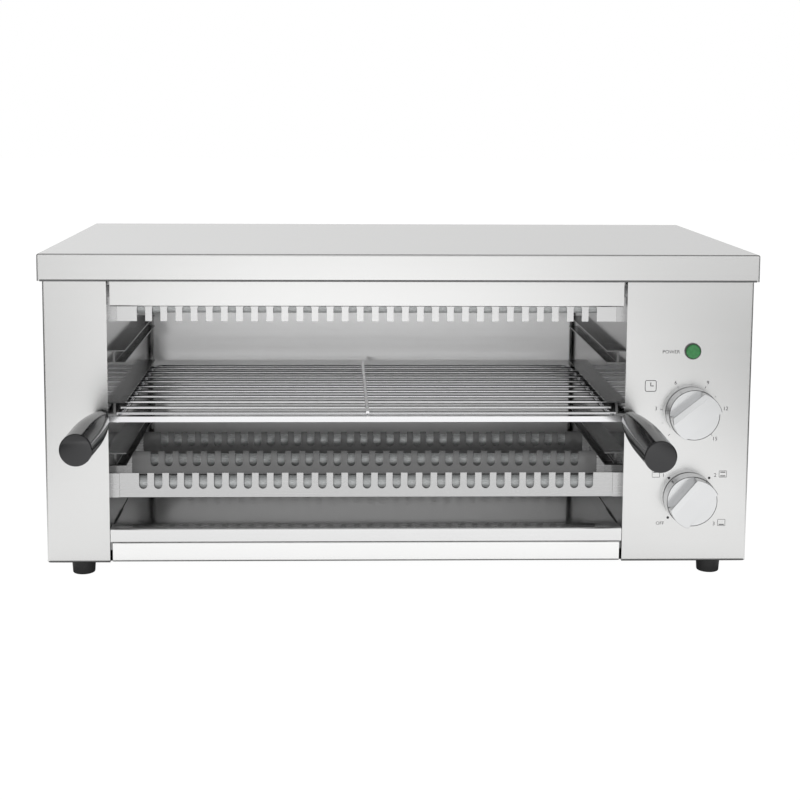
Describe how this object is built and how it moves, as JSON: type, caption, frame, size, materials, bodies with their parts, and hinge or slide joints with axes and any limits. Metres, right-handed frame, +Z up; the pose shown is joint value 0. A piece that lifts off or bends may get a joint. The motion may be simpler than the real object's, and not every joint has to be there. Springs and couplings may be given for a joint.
{
  "type": "salamander grill",
  "caption": "Countertop salamander grill: steel cabinet open at the front, quartz heating tubes above and below a pull-out wire rack, crumb tray, timer and heat selector knobs.",
  "frame": {"origin": "centre of the overall bounding box in plan, at the height that the feet stand on", "axes": "+X to the right seen from the front, +Y to the back, +Z up"},
  "size_m": [0.61, 0.444, 0.28],
  "materials": {
    "satin_steel": "satin stainless steel, fine grain",
    "mirror_steel": "bright polished stainless steel",
    "quartz": "frosted light grey quartz",
    "rack_wire": "bright plated wire",
    "handle_black": "glossy black moulding",
    "knob_grey": "satin silver grey paint on plastic",
    "plated_steel": "zinc plated steel",
    "link_metal": "nickel plated strip",
    "coil_wire": "dark resistance wire",
    "ceramic": "white unglazed ceramic",
    "switch_plastic": "dark moulded plastic",
    "lamp_green": "dark green translucent plastic",
    "foot_rubber": "black rubber",
    "gland_plastic": "black plastic",
    "wire_sleeve": "woven heat-proof sleeve"
  },
  "bodies": {
    "casing": {"back_panel": "satin_steel", "back_reflector": "mirror_steel", "base_pan": "satin_steel", "cable_gland": "gland_plastic", "ceiling_reflector": "mirror_steel", "ceramic_caps": "ceramic", "control_panel": "satin_steel", "control_screws": "plated_steel", "feet": "foot_rubber", "foot_screws": "plated_steel", "front_fascia": "satin_steel", "guard_brackets": "mirror_steel", "heating_coils": "coil_wire", "inner_wires": "wire_sleeve", "lamp_body": "switch_plastic", "lamp_lens": "lamp_green", "left_cavity_wall": "mirror_steel", "left_side_cover": "satin_steel", "link_strips": "link_metal", "quartz_tube_lower_front": "quartz", "quartz_tube_lower_middle": "quartz", "quartz_tube_lower_rear": "quartz", "quartz_tube_upper_front": "quartz", "quartz_tube_upper_middle": "quartz", "quartz_tube_upper_rear": "quartz", "rack_runner_lower_left": "mirror_steel", "rack_runner_lower_right": "mirror_steel", "rack_runner_middle_left": "mirror_steel", "rack_runner_middle_right": "mirror_steel", "rack_runner_upper_left": "mirror_steel", "rack_runner_upper_right": "mirror_steel", "rear_screws": "plated_steel", "right_cavity_wall": "mirror_steel", "right_side_cover": "satin_steel", "selector_body": "switch_plastic", "terminal_block": "ceramic", "timer_body": "switch_plastic", "top_cover": "satin_steel", "tray_runner_left": "mirror_steel", "tray_runner_right": "mirror_steel", "tube_guard_lower_front": "mirror_steel", "tube_guard_lower_middle": "mirror_steel", "tube_guard_lower_rear": "mirror_steel", "tube_guard_upper_front": "mirror_steel", "tube_guard_upper_middle": "mirror_steel", "tube_guard_upper_rear": "mirror_steel"},
    "rack": {"rack_front_bar": "rack_wire", "rack_frame": "rack_wire", "rack_cross_wires": "rack_wire", "rack_spine": "rack_wire", "handle_left": "handle_black", "handle_right": "handle_black", "handle_studs": "plated_steel"},
    "tray": {"crumb_tray": "mirror_steel"},
    "timer_dial": {"timer_knob": "knob_grey", "timer_shaft": "plated_steel"},
    "selector_dial": {"selector_knob": "knob_grey", "selector_shaft": "plated_steel"}
  },
  "joints": [
    {"name": "rack_slide", "type": "slide", "parent": "casing", "child": "rack", "axis": [0, -1, 0], "range_m": [0, 0.17]},
    {"name": "tray_slide", "type": "slide", "parent": "casing", "child": "tray", "axis": [0, -1, 0], "range_m": [0, 0.26]},
    {"name": "timer_turn", "type": "hinge", "parent": "casing", "child": "timer_dial", "pos_m": [0.2501, -0.09404, 0.1444], "axis": [0, 1, 0], "range_deg": [-7, 263]},
    {"name": "selector_turn", "type": "hinge", "parent": "casing", "child": "selector_dial", "pos_m": [0.2501, -0.09404, 0.0695], "axis": [0, 1, 0], "range_deg": [0, 270]}
  ]
}
